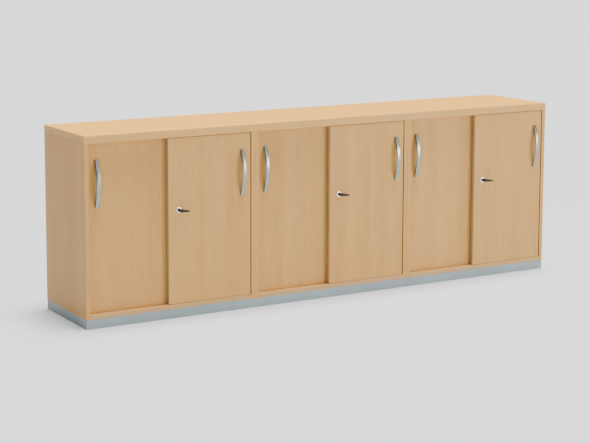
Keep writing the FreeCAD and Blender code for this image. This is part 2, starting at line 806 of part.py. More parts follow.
def build_handle(door):
    """A bow handle standing on the door, with a blind thread in each foot."""
    bow = padded("bow_side", "YZ_Plane", draw_bow, mm.handle_width + mm.overrun)
    taper = padded("bow_front", "XZ_Plane", draw_taper, 2 * mm.handle_reach + mm.overrun)
    blank = doc.addObject("Part::MultiCommon", "bow_blank")
    blank.Shapes = [bow, taper]
    doc.recompute()
    flanks = [
        index
        for index, edge in enumerate(blank.Shape.Edges, start=1)
        if ends_at(edge, "y", -mm.handle_end.value) and edge.BoundBox.ZLength > mm.handle_length.value / 2
    ]
    body = doc.addObject("Part::Fillet", "bow_eased")
    body.Base = blank
    edge_radius = mm.handle_edge_radius.value
    body.Edges = [(index, edge_radius, edge_radius) for index in flanks]
    place(body, (door.handle_x, door.face, handle_height))
    tools = []
    for z in door.screw_heights:
        start = (door.handle_x, door.face - mm.screw_grip - mm.fit_gap, z)
        length = mm.screw_grip + mm.fit_gap + mm.overrun
        tools.append(rod("handle_thread", "y", mm.screw_radius + mm.fit_gap, length, start))
    keep(f"{door.node}_handle", cut("handle_cut", body, tools))


def build_handle_screws(door):
    """Two screws through the door from behind, into the feet of its handle."""
    screws = []
    for z in door.screw_heights:
        shank_start = (door.handle_x, door.face - mm.screw_grip, z)
        shank_length = mm.screw_grip + mm.door_thickness
        shank = rod("screw_shank", "y", mm.screw_radius, shank_length, shank_start)
        head_start = (door.handle_x, door.rear, z)
        head = rod("screw_head", "y", mm.screw_head_radius, mm.screw_head_height, head_start)
        slot_length = 2 * mm.screw_head_radius + 2 * mm.overrun
        slot_size = (slot_length, mm.screw_slot_depth + mm.overrun, mm.screw_slot_width)
        slot_y = door.rear + mm.screw_head_height - mm.screw_slot_depth
        slot_at = (door.handle_x - slot_length / 2, slot_y, z - mm.screw_slot_width / 2)
        slot = block("screw_slot", slot_size, slot_at)
        screws.append(cut("screw", join("screw_blank", [shank, head]), [slot]))
    keep(f"{door.node}_handle_screws", group("screw_set", screws))


def strike_pegs(name, bay, radius, start_y, length):
    """The two pegs that hold a strike in the rear door, or the holes for them."""
    z = lock_height - mm.strike_peg_drop
    for x in (bay.lock_x - mm.strike_peg_offset, bay.lock_x + mm.strike_peg_offset):
        yield rod(name, "y", radius, length, (x, start_y, z))


def build_strike(bay):
    """A fork on the rear door's face, in the gap between the doors, that the lock's bolt enters."""
    y = rear_door_face - mm.strike_thickness
    height = mm.strike_above + mm.strike_below
    corner = (bay.lock_x - mm.strike_width / 2, y, lock_height - mm.strike_below)
    plate = block("strike_plate", (mm.strike_width, mm.strike_thickness, height), corner)
    half_slot = mm.bolt_radius + mm.strike_play
    slot_height = half_slot + mm.strike_above + mm.overrun
    slot_size = (2 * half_slot, mm.strike_thickness + 2 * mm.overrun, slot_height)
    slot_at = (bay.lock_x - half_slot, y - mm.overrun, lock_height - half_slot)
    fork = cut("strike_fork", plate, [block("strike_slot", slot_size, slot_at)])
    pegs = list(strike_pegs("strike_peg", bay, mm.strike_peg_radius, rear_door_face, mm.strike_peg_length))
    keep(f"{bay.name}_lock_strike", join("strike", [fork] + pegs))


def build_lock(bay):
    """The push lock in the front door: its fixed housing, and the barrel that slides in with the bolt."""
    face = front_door_face
    rosette_front = face - mm.rosette_thickness
    housing_length = mm.rosette_thickness + mm.door_thickness
    lip_end = mm.rosette_thickness + mm.lip_depth
    wall_start = housing_length - mm.sleeve_end_wall
    lip_bore = mm.barrel_radius + mm.running_gap
    main_bore = mm.collar_radius + mm.running_gap
    end_bore = mm.bolt_radius + mm.running_gap
    housing = turned(
        "lock_housing",
        [
            (lip_bore, 0), (mm.rosette_radius, 0),
            (mm.rosette_radius, mm.rosette_thickness), (mm.sleeve_radius, mm.rosette_thickness),
            (mm.sleeve_radius, housing_length), (end_bore, housing_length),
            (end_bore, wall_start), (main_bore, wall_start),
            (main_bore, lip_end), (lip_bore, lip_end),
        ],
    )
    ease_rim(housing, mm.rosette_edge_radius, mm.rosette_radius)
    place(housing, (bay.lock_x, rosette_front, lock_height))
    keep(f"{bay.name}_lock_housing", housing)

    collar_start = mm.barrel_reach + lip_end + mm.running_gap
    collar_end = mm.barrel_reach + wall_start - mm.lock_travel - mm.running_gap
    bolt_end = mm.barrel_reach + housing_length
    plug_bore = mm.plug_radius + mm.running_gap
    plug_floor = mm.plug_length + mm.plug_floor_gap
    barrel = turned(
        "lock_barrel",
        [
            (plug_bore, 0), (mm.barrel_radius, 0),
            (mm.barrel_radius, collar_start), (mm.collar_radius, collar_start),
            (mm.collar_radius, collar_end), (mm.bolt_radius, collar_end),
            (mm.bolt_radius, bolt_end), (0, bolt_end),
            (0, plug_floor), (plug_bore, plug_floor),
        ],
    )
    ease_rim(barrel, mm.barrel_edge_radius, mm.barrel_radius)
    barrel_front = rosette_front - mm.barrel_reach
    place(barrel, (bay.lock_x, barrel_front, lock_height))
    keep(f"{bay.name}_lock_barrel", barrel)

    plug_start = (bay.lock_x, barrel_front, lock_height)
    plug_blank = rod("plug_blank", "y", mm.plug_radius, mm.plug_length, plug_start)
    keyway_width = mm.key_thickness + 2 * mm.fit_gap
    keyway_height = mm.key_height + 2 * mm.fit_gap
    keyway_size = (keyway_width, mm.keyway_depth + mm.overrun, keyway_height)
    keyway_x = bay.lock_x - keyway_width / 2
    keyway_z = lock_height - keyway_height / 2
    keyway = block("plug_keyway", keyway_size, (keyway_x, barrel_front - mm.overrun, keyway_z))
    keep(f"{bay.name}_lock_plug", cut("plug_cut", plug_blank, [keyway]))


def ease_rim(body, radius, rim_radius):
    """Round the front rim of a turned body."""
    doc.recompute()
    base = body.Tip
    rims = [
        f"Edge{index}"
        for index, edge in enumerate(base.Shape.Edges, start=1)
        if ends_at(edge, "y", 0) and near(abs(edge.Vertexes[0].Point.x), rim_radius.value)
    ]
    fillet = body.newObject("PartDesign::Fillet", f"{body.Name}_eased")
    fillet.Base = (base, rims)
    bind(fillet, Radius=radius)


def build_key(bay):
    """A folding key: its blade with a knuckle, and the bow that turns on a pin through the knuckle."""
    barrel_front = front_door_face - mm.rosette_thickness - mm.barrel_reach
    hinge_y = barrel_front - mm.hinge_distance
    low = lock_height - mm.key_height / 2
    blade_size = (mm.key_thickness, mm.hinge_distance + mm.key_inserted, mm.key_height)
    blade = block("blade_flat", blade_size, (bay.lock_x - mm.key_thickness / 2, hinge_y, low))
    knuckle = rod("blade_knuckle", "z", mm.knuckle_radius, mm.key_height, (bay.lock_x, hinge_y, low))
    eye_radius = mm.hinge_pin_radius + mm.running_gap
    eye_length = mm.key_height + 2 * mm.overrun
    eye = rod("blade_eye", "z", eye_radius, eye_length, (bay.lock_x, hinge_y, low - mm.overrun))
    keep(f"{bay.name}_key_blade", cut("blade_cut", join("blade_blank", [blade, knuckle]), [eye]))

    body = padded("key_bow", "XZ_Plane", draw_key_bow, mm.bow_thickness)
    doc.recompute()
    pad = body.Tip
    box = pad.Shape.BoundBox
    rim = [
        f"Edge{index}"
        for index, edge in enumerate(pad.Shape.Edges, start=1)
        if (ends_at(edge, "y", box.YMin) or ends_at(edge, "y", box.YMax)) and not ends_at(edge, "x", box.XMin)
    ]
    fillet = body.newObject("PartDesign::Fillet", "key_bow_eased")
    fillet.Base = (pad, rim)
    bind(fillet, Radius=mm.bow_edge_radius)
    fork_depth = mm.knuckle_radius + mm.running_gap
    fork_height = mm.key_height + 2 * mm.running_gap
    fork_size = (mm.overrun + mm.knuckle_radius + fork_depth, mm.bow_thickness + 2 * mm.overrun, fork_height)
    fork_at = (-mm.knuckle_radius - mm.overrun, -mm.bow_thickness / 2 - mm.overrun, -fork_height / 2)
    forked = cut("bow_forked", body, [block("bow_fork", fork_size, fork_at)])
    pin_length = mm.bow_root_width - 2 * mm.bow_edge_radius
    pin = rod("bow_pin", "z", mm.hinge_pin_radius, pin_length, (0, 0, -pin_length / 2))
    bow = join("bow_joined", [forked, pin])
    place(bow, (bay.lock_x, hinge_y, lock_height))
    bow.Placement.Rotation = FreeCAD.Rotation(FreeCAD.Vector(0, 0, -1), 90 - mm.key_fold.value)
    bind(bow, **{"Placement.Rotation.Angle": 90 - mm.key_fold})
    keep(f"{bay.name}_key_bow", bow)


def draw_key_bow(sketch):
    """The flat outline of the key's bow: straight sides that taper to a round tip."""
    root = mm.knuckle_radius
    half_root = mm.bow_root_width / 2
    half_tip = mm.bow_tip_width / 2
    tip_centre = mm.bow_length - half_tip
    corners = [(-root, -half_root), (tip_centre, -half_tip), (tip_centre, half_tip), (-root, half_root)]
    draw_outline(sketch, corners, {1: (mm.bow_length, 0, tip_centre)})


def lock_hole(bay):
    """The hole through the front door for the lock's sleeve."""
    start = (bay.lock_x, front_door_face - mm.overrun, lock_height)
    length = mm.door_thickness + 2 * mm.overrun
    return rod("door_lock_hole", "y", mm.sleeve_radius + mm.fit_gap, length, start)


def build_doors(bay):
    """Both doors of a bay with all that is fixed on them."""
    rear, front_door = doors_of(bay)
    hole_radius = mm.strike_peg_radius + mm.fit_gap
    hole_length = mm.strike_peg_length + mm.fit_gap + mm.overrun
    peg_holes = list(strike_pegs("strike_hole", bay, hole_radius, rear.face - mm.overrun, hole_length))
    build_door_panel(rear, peg_holes)
    build_door_panel(front_door, [lock_hole(bay)])
    for door in (rear, front_door):
        build_runners(door)
        build_handle(door)
        build_handle_screws(door)
    build_strike(bay)


def check_document():
    """Stop if any object failed, or any sub-part has no valid shape."""
    doc.recompute()
    failed = [item.Name for item in doc.Objects if "Invalid" in item.State or "Error" in item.State]
    bad = [item.Label for item in nodes if item.Shape.isNull() or not item.Shape.isValid()]
    if failed or bad:
        raise RuntimeError(f"failed objects {failed}, bad shapes {bad}")


def write_parts():
    """Write each sub-part to its own STEP file."""
    os.makedirs("parts", exist_ok=True)
    for item in nodes:
        item.Shape.exportStep(f"parts/{item.Label}.step")
        print(item.Label, len(item.Shape.Solids), "solids", round(item.Shape.Volume), "mm3")


build_top_board()
build_back_panels()
build_shelves()
build_shelf_pins()
build_tracks()
build_plinth()
build_cam_connectors()
build_ganging_bolts()
for each_bay in bays:
    build_sides(each_bay)
    build_bottom(each_bay)
    build_doors(each_bay)
    build_lock(each_bay)
    build_key(each_bay)
check_document()
write_parts()
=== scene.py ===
"""Looks of the sliding door cabinet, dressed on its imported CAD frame."""
import json
import logging
import math
from dataclasses import dataclass
from enum import Enum
from typing import Any, ClassVar, Union

import bmesh
import bpy
from bmesh.types import BMEdge, BMesh, BMVert
from mathutils import Matrix, Vector


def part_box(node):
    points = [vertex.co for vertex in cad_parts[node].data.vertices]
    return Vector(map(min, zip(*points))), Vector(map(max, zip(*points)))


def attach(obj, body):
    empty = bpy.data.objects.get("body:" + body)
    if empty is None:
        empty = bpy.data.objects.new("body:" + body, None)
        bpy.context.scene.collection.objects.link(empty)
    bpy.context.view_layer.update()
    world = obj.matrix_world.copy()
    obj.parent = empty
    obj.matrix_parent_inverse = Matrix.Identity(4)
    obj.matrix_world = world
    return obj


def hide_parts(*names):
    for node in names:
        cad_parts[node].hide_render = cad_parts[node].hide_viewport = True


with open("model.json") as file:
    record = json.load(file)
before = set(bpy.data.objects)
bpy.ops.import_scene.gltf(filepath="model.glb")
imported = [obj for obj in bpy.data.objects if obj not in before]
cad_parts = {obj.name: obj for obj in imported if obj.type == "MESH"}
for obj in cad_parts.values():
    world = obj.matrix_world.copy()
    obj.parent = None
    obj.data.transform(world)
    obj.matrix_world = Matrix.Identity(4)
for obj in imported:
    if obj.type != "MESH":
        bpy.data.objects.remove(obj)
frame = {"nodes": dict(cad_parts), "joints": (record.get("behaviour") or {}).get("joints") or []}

log = logging.getLogger("cabinet")

MM = 0.001
UP = Vector((0.0, 0.0, 1.0))
UPRIGHT_AXIS = 2
GRAIN_STRETCH = 0.045
NOISE_MIDDLE = 0.5
MERGE_DISTANCE = 1e-6
SHARP_ANGLE = math.radians(35)
SRGB_FULL = 255
SRGB_TOE = 0.04045
SRGB_TOE_SLOPE = 12.92
SRGB_OFFSET = 0.055
SRGB_POWER = 2.4
BAY_NAMES = ("left", "middle", "right")
Colour = tuple[float, float, float, float]
Triple = tuple[float, float, float]
Span = tuple[float, float]
Operand = Union["Socket", float, Colour]


def srgb(red: int, green: int, blue: int) -> Colour:
    """Turn a screen colour into a linear one.

    Args:
        red: Red from 0 to 255.
        green: Green from 0 to 255.
        blue: Blue from 0 to 255.

    Returns:
        The linear colour with full alpha.
    """
    linear = []
    for channel in (red, green, blue):
        part = channel / SRGB_FULL
        if part <= SRGB_TOE:
            linear.append(part / SRGB_TOE_SLOPE)
        else:
            linear.append(((part + SRGB_OFFSET) / (1 + SRGB_OFFSET)) ** SRGB_POWER)
    return (linear[0], linear[1], linear[2], 1.0)


class Grain(Enum):
    """The way that the decor's grain runs on a board, as the factor on each coordinate."""

    UPRIGHT = (1.0, 1.0, GRAIN_STRETCH)
    ALONG = (GRAIN_STRETCH, 1.0, 1.0)


class Face(Enum):
    """The axes across a board's large face."""

    FRONT = (0, 2)
    LEVEL = (0, 1)
    END = (1, 2)


class Socket:
    """A shader socket that takes part in Python arithmetic, one Math node for each operator."""

    def __init__(self, shader: "Shader", link: bpy.types.NodeSocket) -> None:
        """Wrap one output of a shader's node."""
        self.shader = shader
        self.link = link

    def combined(self, operation: str, first: Operand, second: Operand) -> "Socket":
        """Add a Math node.

        Args:
            operation: The Math node's operation.
            first: Its first value.
            second: Its second value.

        Returns:
            The node's result.
        """
        return self.shader.node("ShaderNodeMath", {"operation": operation}, {0: first, 1: second})

    def __add__(self, other: Operand) -> "Socket":
        """Add a value."""
        return self.combined("ADD", self, other)

    def __radd__(self, other: Operand) -> "Socket":
        """Add to a value."""
        return self.combined("ADD", other, self)

    def __sub__(self, other: Operand) -> "Socket":
        """Take a value away."""
        return self.combined("SUBTRACT", self, other)

    def __rsub__(self, other: Operand) -> "Socket":
        """Take this away from a value."""
        return self.combined("SUBTRACT", other, self)

    def __mul__(self, other: Operand) -> "Socket":
        """Multiply by a value."""
        return self.combined("MULTIPLY", self, other)

    def __rmul__(self, other: Operand) -> "Socket":
        """Multiply a value."""
        return self.combined("MULTIPLY", other, self)

    def __abs__(self) -> "Socket":
        """The value without its sign."""
        return self.combined("ABSOLUTE", self, 0.0)

    def least(self, other: Operand) -> "Socket":
        """The smaller of two values."""
        return self.combined("MINIMUM", self, other)

    def swing(self) -> "Socket":
        """How far a noise lies from its middle value."""
        return self - NOISE_MIDDLE


class Shader:
    """The node tree of one material, around its Principled shader."""

    # The Mix node's sockets for the factor, the two colours and the result
    mix_inputs: ClassVar[tuple[int, int, int]] = (0, 6, 7)
    mix_output: ClassVar[int] = 2

    def __init__(self, name: str) -> None:
        """Start a material.

        Args:
            name: The material's name.
        """
        self.material = bpy.data.materials.new(name)
        self.material.use_nodes = True
        self.tree = self.material.node_tree
        self.surface = next(node for node in self.tree.nodes if node.type == "BSDF_PRINCIPLED")
        self.place = self.node("ShaderNodeTexCoord", output="Object")

    def node(
        self,
        kind: str,
        settings: dict[str, Any] | None = None,
        inputs: dict[str | int, Operand] | None = None,
        output: str | int = 0,
    ) -> Socket:
        """Add a node.

        Args:
            kind: The node's type.
            settings: Its properties.
            inputs: The values or links of its sockets, by name or number.
            output: The output to return, by name or number.

        Returns:
            That output.
        """
        made = self.tree.nodes.new(kind)
        for name, value in (settings or {}).items():
            setattr(made, name, value)
        for name, value in (inputs or {}).items():
            self.feed(made.inputs[name], value)
        return Socket(self, made.outputs[output])

    def feed(self, socket: bpy.types.NodeSocket, value: Any) -> None:
        """Link a socket to another, or set its value.

        Args:
            socket: The socket to feed.
            value: The socket to link it to, or its value.
        """
        if isinstance(value, Socket):
            self.tree.links.new(value.link, socket)
        else:
            socket.default_value = value

    def set(self, sockets: dict[str, Any]) -> bpy.types.Material:
        """Feed the Principled shader.

        Args:
            sockets: The values or links of its sockets, by name.

        Returns:
            The finished material.
        """
        for name, value in sockets.items():
            self.feed(self.surface.inputs[name], value)
        return self.material

    def stretched(self, scale: Triple, shift: float = 0.0) -> Socket:
        """Object coordinates, scaled along each axis.

        Args:
            scale: Factor along each axis.
            shift: Distance that moves the pattern, so that two boards differ.

        Returns:
            The coordinates.
        """
        places = {"Vector": self.place, "Location": (shift, shift, shift), "Scale": scale}
        return self.node("ShaderNodeMapping", {}, places)

    def along(self, axis: int) -> Socket:
        """One of the Object coordinates."""
        return self.node("ShaderNodeSeparateXYZ", {}, {"Vector": self.place}, axis)

    def noise(self, vector: Socket, scale: float, detail: float = 2.0) -> Socket:
        """Fractal noise.

        Args:
            vector: Coordinates to read.
            scale: Features to a metre.
            detail: Octaves of finer noise.

        Returns:
            Values about 0.5.
        """
        return self.node("ShaderNodeTexNoise", {}, {"Vector": vector, "Scale": scale, "Detail": detail})

    def step(self, value: Socket, low: float, high: float) -> Socket:
        """A smooth step from 0 at low to 1 at high."""
        settings = {"interpolation_type": "SMOOTHSTEP"}
        return self.node("ShaderNodeMapRange", settings, {"Value": value, "From Min": low, "From Max": high})

    def mix(self, factor: Operand, first: Operand, second: Operand) -> Socket:
        """A colour between two others."""
        inputs = dict(zip(self.mix_inputs, (factor, first, second)))
        return self.node("ShaderNodeMix", {"data_type": "RGBA"}, inputs, self.mix_output)

    def bump(self, height: Socket, strength: float, distance: float) -> Socket:
        """A normal bent by a height.

        Args:
            height: Height over the surface.
            strength: Share of the effect.
            distance: Metres that a height of 1 stands for.

        Returns:
            The normal.
        """
        return self.node("ShaderNodeBump", {}, {"Height": height, "Strength": strength, "Distance": distance})


@dataclass(frozen=True)
class BeechDecor:
    """Beech decor on chipboard: soft bands, fine lines, short ray flecks and a plastic edge band."""

    grain: Grain
    face: Face
    pale: Colour = srgb(203, 154, 86)
    deep: Colour = srgb(189, 140, 72)
    fleck: Colour = srgb(154, 106, 52)
    edge_pale: Colour = srgb(194, 154, 102)
    edge_deep: Colour = srgb(182, 142, 90)
    seam: Colour = srgb(150, 102, 54)
    band_scale: float = 16.0
    line_scale: float = 170.0
    fleck_scale: float = 620.0
    line_detail: float = 3.0
    fleck_detail: float = 1.0
    fleck_shortness: float = 3.5
    fleck_range: Span = (0.60, 0.72)
    band_weight: float = 1.6
    line_weight: float = 1.3
    fleck_weight: float = 0.30
    seam_weight: float = 0.55
    # The painted shadow line under the top board, on the side boards
    joint_shade_weight: float = 0.8
    edging: float = 1.6 * MM
    edging_blur: float = 0.16 * MM
    seam_width: float = 0.35 * MM
    joint_shade_range: Span = (0.8 * MM, 1.6 * MM)
    roughness: float = 0.46
    line_roughness: float = 0.10
    fleck_roughness: float = 0.08
    gloss: float = 0.18
    line_relief: float = 0.4
    relief: float = 0.10
    relief_depth: float = 0.3 * MM

    def rim(self, shader: Shader, low: Vector, high: Vector) -> Socket:
        """How far a point of the face lies from the nearest edge of its board.

        Args:
            shader: The shader to add to.
            low: The board's lowest corner.
            high: Its highest corner.

        Returns:
            The distance in metres.
        """
        gaps = [
            (high[axis] - low[axis]) / 2 - abs(shader.along(axis) - (low[axis] + high[axis]) / 2)
            for axis in self.face.value
        ]
        return gaps[0].least(gaps[1])

    def material(self, node: str, shift: float) -> bpy.types.Material:
        """Make the material of one board.

        Args:
            node: The board's node.
            shift: Distance that moves the grain, so that no two boards match.

        Returns:
            The material.
        """
        shader = Shader(f"beech_{node}")
        long_grain = shader.stretched(self.grain.value, shift)
        shorter = tuple(min(1.0, self.fleck_shortness * factor) for factor in self.grain.value)
        short_grain = shader.stretched(shorter, shift)
        bands = shader.noise(long_grain, self.band_scale, self.line_detail)
        lines = shader.noise(long_grain, self.line_scale, self.line_detail)
        spots = shader.noise(short_grain, self.fleck_scale, self.fleck_detail)
        flecks = shader.step(spots, *self.fleck_range)
        tone = NOISE_MIDDLE + self.band_weight * bands.swing() + self.line_weight * lines.swing()
        board = shader.mix(tone, self.pale, self.deep)
        board = shader.mix(flecks * self.fleck_weight, board, self.fleck)
        low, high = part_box(node)
        rim = self.rim(shader, low, high)
        seam = 1 - shader.step(abs(rim - self.edging), 0.0, self.seam_width)
        board = shader.mix(seam * self.seam_weight, board, self.seam)
        edge = shader.mix(tone, self.edge_pale, self.edge_deep)
        # Painted shade: within 1.6 mm of their top, the side boards blend towards the greyer edge tone, a
        # painted shadow line under the top board
        if self.face is Face.END:
            joint = shader.step(high.z - shader.along(UPRIGHT_AXIS), *self.joint_shade_range)
            board = shader.mix(self.joint_shade_weight - self.joint_shade_weight * joint, board, edge)
        else:
            board = shader.mix(1 - shader.step(rim, 0.0, self.edging_blur), board, edge)
        roughness = self.roughness + self.line_roughness * lines.swing() + self.fleck_roughness * flecks
        height = lines * self.line_relief - flecks - seam
        return shader.set(
            {
                "Base Color": board,
                "Roughness": roughness,
                "Specular IOR Level": self.gloss,
                "Normal": shader.bump(height, self.relief, self.relief_depth),
            }
        )


@dataclass(frozen=True)
class LitTopBeech(BeechDecor):
    """A warmer copy of the decor for the top board, painted light for its brightly lit top face, with a paler
    edge band.
    """

    pale: Colour = srgb(206, 147, 62)
    deep: Colour = srgb(192, 133, 50)
    edge_pale: Colour = srgb(210, 163, 93)
    edge_deep: Colour = srgb(196, 149, 79)


@dataclass(frozen=True)
class DoorBeech(BeechDecor):
    """The decor of the doors, upright on both faces, with a greyer edge band that also paints the shade in
    the gaps between the doors.
    """

    grain: Grain = Grain.UPRIGHT
    face: Face = Face.FRONT
    # Painted shade: the door edges show only in the narrow gaps, so their band is set greyer and a little
    # darker than the face
    edge_pale: Colour = srgb(180, 154, 122)
    edge_deep: Colour = srgb(168, 142, 110)


@dataclass(frozen=True)
class PowderCoat:
    """Silver grey powder coat with a fine orange peel and faint scuffs along its length."""

    pale: Colour = srgb(139, 151, 152)
    deep: Colour = srgb(131, 143, 145)
    scuff: Colour = srgb(106, 116, 117)
    peel_scale: float = 700.0
    cloud_scale: float = 6.0
    cloud_range: Span = (0.35, 0.65)
    scuff_stretch: Triple = (0.12, 1.0, 1.0)
    scuff_scale: float = 110.0
    scuff_detail: float = 4.0
    scuff_range: Span = (0.66, 0.80)
    scuff_weight: float = 0.35
    metallic: float = 0.15
    roughness: float = 0.44
    peel_roughness: float = 0.12
    scuff_roughness: float = 0.10
    relief: float = 0.12
    relief_depth: float = 0.3 * MM

    def material(self, name: str) -> bpy.types.Material:
        """Make the coat's material.

        Args:
            name: The material's name.

        Returns:
            The material.
        """
        shader = Shader(name)
        peel = shader.noise(shader.place, self.peel_scale)
        clouds = shader.noise(shader.place, self.cloud_scale)
        streaks = shader.noise(shader.stretched(self.scuff_stretch), self.scuff_scale, self.scuff_detail)
        scuffs = shader.step(streaks, *self.scuff_range)
        coat = shader.mix(shader.step(clouds, *self.cloud_range), self.pale, self.deep)
        roughness = self.roughness + self.peel_roughness * peel.swing() + self.scuff_roughness * scuffs
        return shader.set(
            {
                "Base Color": shader.mix(scuffs * self.scuff_weight, coat, self.scuff),
                "Metallic": self.metallic,
                "Roughness": roughness,
                "Normal": shader.bump(peel, self.relief, self.relief_depth),
            }
        )


@dataclass(frozen=True)
class Metal:
    """A plated metal, brushed along one axis or plain."""

    pale: Colour
    deep: Colour
    roughness: float
    brushed: Triple = (1.0, 1.0, 1.0)
    scale: float = 900.0
    stroke_detail: float = 3.0
    stroke_roughness: float = 0.16
    cloud_scale: float = 60.0
    cloud_range: Span = (0.3, 0.7)
    cloud_roughness: float = 0.06
    relief: float = 0.04
    relief_depth: float = 0.2 * MM

    def material(self, name: str) -> bpy.types.Material:
        """Make the metal's material.

        Args:
            name: The material's name.

        Returns:
            The material.
        """
        shader = Shader(name)
        strokes = shader.noise(shader.stretched(self.brushed), self.scale, self.stroke_detail)
        clouds = shader.noise(shader.place, self.cloud_scale)
        brushing = self.roughness + self.stroke_roughness * strokes.swing()
        return shader.set(
            {
                "Base Color": shader.mix(shader.step(clouds, *self.cloud_range), self.pale, self.deep),
                "Metallic": 1.0,
                "Roughness": brushing + self.cloud_roughness * clouds.swing(),
                "Normal": shader.bump(strokes, self.relief, self.relief_depth),
            }
        )


@dataclass(frozen=True)
class Plastic:
    """Moulded or extruded plastic with a fine texture."""

    pale: Colour
    deep: Colour
    roughness: float = 0.5
    scale: float = 1600.0
    texture_roughness: float = 0.14
    cloud_scale: float = 35.0
    cloud_range: Span = (0.3, 0.7)
    relief: float = 0.10
    relief_depth: float = 0.2 * MM

    def material(self, name: str) -> bpy.types.Material:
        """Make the plastic's material.

        Args:
            name: The material's name.

        Returns:
            The material.
        """
        shader = Shader(name)
        texture = shader.noise(shader.place, self.scale)
        clouds = shader.noise(shader.place, self.cloud_scale)
        return shader.set(
            {
                "Base Color": shader.mix(shader.step(clouds, *self.cloud_range), self.pale, self.deep),
                "Roughness": self.roughness + self.texture_roughness * texture.swing(),
                "Normal": shader.bump(texture, self.relief, self.relief_depth),
            }
        )


class Finish(Enum):
    """The finishes of the fittings."""

    PLINTH = PowderCoat()
    HANDLE = Metal(srgb(146, 155, 148), srgb(136, 145, 138), 0.27, (1.0, 1.0, 0.04), 1400.0)
    CHROME = Metal(srgb(250, 245, 234), srgb(245, 240, 228), 0.36)
    BARREL = Metal(srgb(96, 93, 90), srgb(82, 79, 76), 0.30)
    PLUG = Metal(srgb(44, 43, 42), srgb(34, 33, 33), 0.36)
    KEY_STEEL = Metal(srgb(84, 80, 76), srgb(70, 66, 63), 0.34)
    ZINC = Metal(srgb(190, 194, 198), srgb(168, 172, 178), 0.38, scale=400.0)
    KEY_PLASTIC = Plastic(srgb(44, 31, 25), srgb(33, 24, 20), 0.42)
    # A dark plastic for the strips of painted shade in the gaps beside the doors
    FOAM = Plastic(srgb(58, 46, 36), srgb(50, 40, 32), 0.8, 900.0)
    GLIDE = Plastic(srgb(66, 64, 62), srgb(54, 53, 52))
    TRACK = Plastic(srgb(171, 132, 86), srgb(160, 121, 76))


class Paintbox:
    """The materials already made, so that pieces of one finish share one."""

    grain_step: ClassVar[float] = 0.37

    def __init__(self) -> None:
        """Start empty."""
        self.made: dict[Finish, bpy.types.Material] = {}
        self.boards = 0

    def fitting(self, finish: Finish) -> bpy.types.Material:
        """The shared material of a finish.

        Args:
            finish: The finish.

        Returns:
            Its material.
        """
        if finish not in self.made:
            self.made[finish] = finish.value.material(finish.name.lower())
        return self.made[finish]

    def board(self, node: str, decor: BeechDecor) -> bpy.types.Material:
        """A new material for one board, with its own stretch of grain."""
        self.boards += 1
        return decor.material(node, self.grain_step * self.boards)


def put_on(piece: bpy.types.Object, *materials: bpy.types.Material) -> None:
    """Give an object its materials.

    Args:
        piece: The object.
        materials: Its materials, in the order of their slots.
    """
    piece.data.materials.clear()
    for material in materials:
        piece.data.materials.append(material)


def close_up(mesh: BMesh) -> None:
    """Merge the doubles of a closed shape and turn its faces outwards."""
    bmesh.ops.remove_doubles(mesh, verts=list(mesh.verts), dist=MERGE_DISTANCE)
    bmesh.ops.recalc_face_normals(mesh, faces=list(mesh.faces))


def thickened(mesh: BMesh, way: Vector) -> None:
    """Extrude all the faces of a flat shape into a solid.

    Args:
        mesh: The flat shape.
        way: Direction and length of the extrusion.
    """
    spread = bmesh.ops.extrude_face_region(mesh, geom=list(mesh.faces))
    moved = [item for item in spread["geom"] if isinstance(item, BMVert)]
    bmesh.ops.translate(mesh, vec=way, verts=moved)
    close_up(mesh)


def eased(mesh: BMesh, edges: list[BMEdge], radius: float, segments: int) -> None:
    """Round some edges of a solid.

    Args:
        mesh: The solid.
        edges: The edges to round.
        radius: How far the rounding reaches from each edge.
        segments: Faces across the rounding.
    """
    bmesh.ops.bevel(
        mesh, geom=edges, offset=radius, offset_type="OFFSET", segments=segments, profile=0.5,
        affect="EDGES", clamp_overlap=True, material=-1,
    )


def finished(name: str, mesh: BMesh, body: str) -> bpy.types.Object:
    """Turn a bmesh into a smooth piece that rides on a body.

    Args:
        name: The piece's name.
        mesh: Its shape, in place.
        body: The body that carries it.

    Returns:
        The piece.
    """
    data = bpy.data.meshes.new(name)
    mesh.to_mesh(data)
    mesh.free()
    data.shade_smooth()
    data.set_sharp_from_angle(angle=SHARP_ANGLE)
    piece = bpy.data.objects.new(name, data)
    bpy.context.scene.collection.objects.link(piece)
    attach(piece, body)
    log.info("built %s with %d faces", name, len(data.polygons))
    return piece


@dataclass(frozen=True)
class Lathe:
    """A turned shape, with radius and distance along the axis in millimetres at each outline point."""

    outline: tuple[tuple[float, float], ...]
    ring: bool = False
    steps: int = 48

    def turn(self, mesh: BMesh, place: Vector, axis: Vector) -> None:
        """Add the shape to a mesh.

        Args:
            mesh: The bmesh to add to.
            place: The point of the axis from which distances count.
            axis: The axis, square to the vertical.
        """
        verts = [
            mesh.verts.new(place + axis * along * MM + UP * radius * MM)
            for radius, along in self.outline
        ]
        pairs = list(zip(verts, verts[1:]))
        if self.ring:
            pairs.append((verts[-1], verts[0]))
        edges = [mesh.edges.new(pair) for pair in pairs]
        bmesh.ops.spin(
            mesh, geom=verts + edges, cent=place, axis=axis, angle=math.tau, steps=self.steps, use_merge=True
        )


